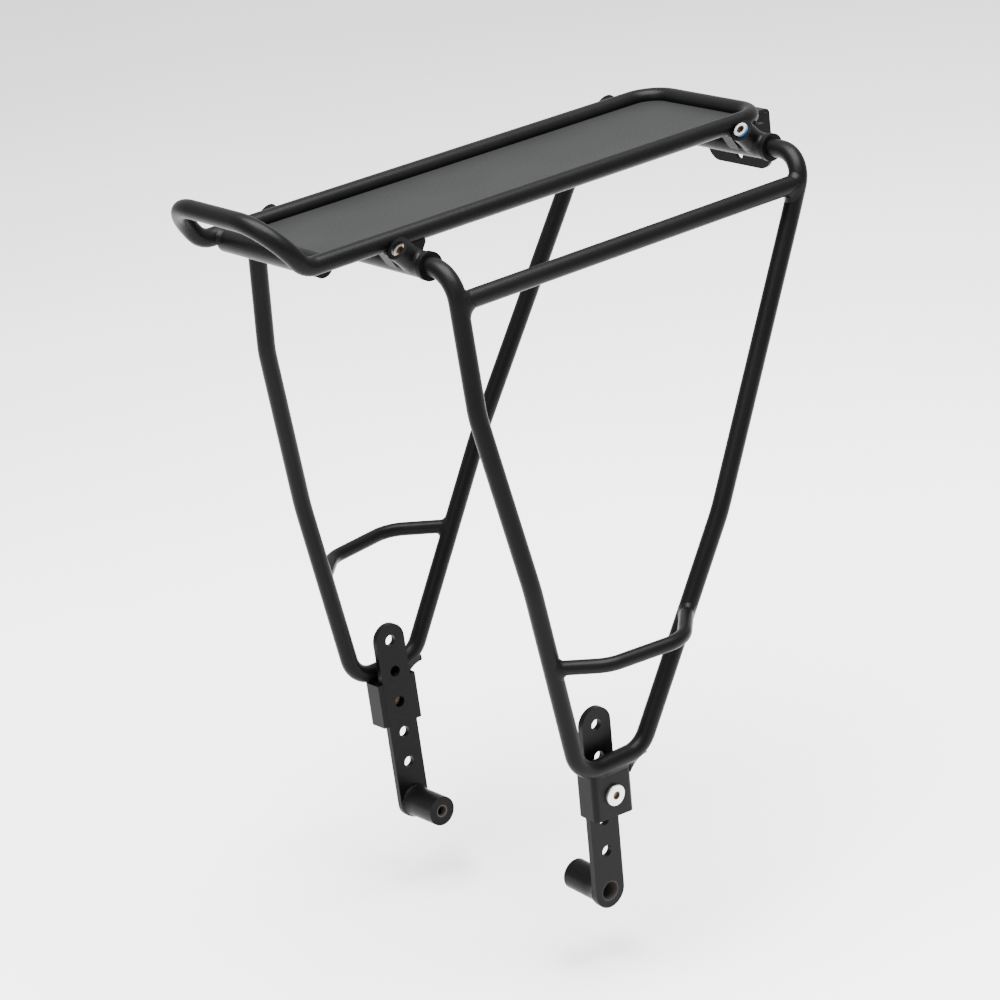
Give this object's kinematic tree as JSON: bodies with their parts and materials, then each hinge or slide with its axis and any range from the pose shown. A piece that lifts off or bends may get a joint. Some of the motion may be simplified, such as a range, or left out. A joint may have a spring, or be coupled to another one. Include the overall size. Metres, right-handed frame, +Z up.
{
  "type": "bicycle rear rack",
  "caption": "Rod-frame bicycle rear rack with a sheet-topped platform and upturned front hoop, slide-out side frames with pannier rails, and height-adjustable feet with long eyelet bosses.",
  "frame": {"origin": "bottom centre of the whole rack's bounding box", "axes": "+X forwards, towards the saddle and the upturned hoop; +Y to the rider's left; +Z up"},
  "size_m": [0.3601, 0.2614, 0.4217],
  "materials": {
    "frame_coat": "satin black powder coat",
    "plate_coat": "matt dark grey powder coat",
    "bushing_plastic": "moulded",
    "stainless": "bright"
  },
  "bodies": {
    "deck": {"deck_loop": "frame_coat", "nose_rail": "frame_coat", "deck_plate": "plate_coat", "front_cross_tube": "frame_coat", "rear_cross_tube": "frame_coat", "light_bracket": "frame_coat", "saddle_front_left": "frame_coat", "clamp_boss_front_left": "frame_coat", "bushing_front_left": "bushing_plastic", "saddle_front_right": "frame_coat", "clamp_boss_front_right": "frame_coat", "bushing_front_right": "bushing_plastic", "saddle_rear_left": "frame_coat", "clamp_boss_rear_left": "frame_coat", "bushing_rear_left": "bushing_plastic", "saddle_rear_right": "frame_coat", "clamp_boss_rear_right": "frame_coat", "bushing_rear_right": "bushing_plastic"},
    "side_left": {"side_hoop_left": "frame_coat", "pannier_rail_left": "frame_coat", "lower_brace_left": "frame_coat", "leg_socket_left": "frame_coat"},
    "leg_left": {"leg_bar_left": "frame_coat"},
    "bolt_left": {"height_bolt_left": "stainless"},
    "side_right": {"side_hoop_right": "frame_coat", "pannier_rail_right": "frame_coat", "lower_brace_right": "frame_coat", "leg_socket_right": "frame_coat"},
    "leg_right": {"leg_bar_right": "frame_coat"},
    "bolt_right": {"height_bolt_right": "stainless"},
    "screw_front_left": {"set_screw_front_left": "stainless"},
    "screw_front_right": {"set_screw_front_right": "stainless"},
    "screw_rear_left": {"set_screw_rear_left": "stainless"},
    "screw_rear_right": {"set_screw_rear_right": "stainless"}
  },
  "joints": [
    {"name": "width_left", "type": "slide", "parent": "deck", "child": "side_left", "axis": [0, 1, 0], "range_m": [0, 0.02]},
    {"name": "leg_height_left", "type": "slide", "parent": "side_left", "child": "leg_left", "axis": [0, 0.0349, 0.9994], "range_m": [-0.0384, 0.0384]},
    {"name": "height_bolt_left", "type": "slide", "parent": "side_left", "child": "bolt_left", "axis": [0, 0.9994, -0.0349], "range_m": [0, 0.008]},
    {"name": "width_right", "type": "slide", "parent": "deck", "child": "side_right", "axis": [0, -1, 0], "range_m": [0, 0.02]},
    {"name": "leg_height_right", "type": "slide", "parent": "side_right", "child": "leg_right", "axis": [0, -0.0349, 0.9994], "range_m": [-0.0384, 0.0384]},
    {"name": "height_bolt_right", "type": "slide", "parent": "side_right", "child": "bolt_right", "axis": [0, -0.9994, -0.0349], "range_m": [0, 0.008]},
    {"name": "set_screw_front_left", "type": "slide", "parent": "deck", "child": "screw_front_left", "axis": [0.7071, 0, 0.7071], "range_m": [0, 0.004]},
    {"name": "set_screw_front_right", "type": "slide", "parent": "deck", "child": "screw_front_right", "axis": [0.7071, 0, 0.7071], "range_m": [0, 0.004]},
    {"name": "set_screw_rear_left", "type": "slide", "parent": "deck", "child": "screw_rear_left", "axis": [0.7071, 0, 0.7071], "range_m": [-0.0032, 0.001]},
    {"name": "set_screw_rear_right", "type": "slide", "parent": "deck", "child": "screw_rear_right", "axis": [0.7071, 0, 0.7071], "range_m": [0, 0.004]}
  ]
}
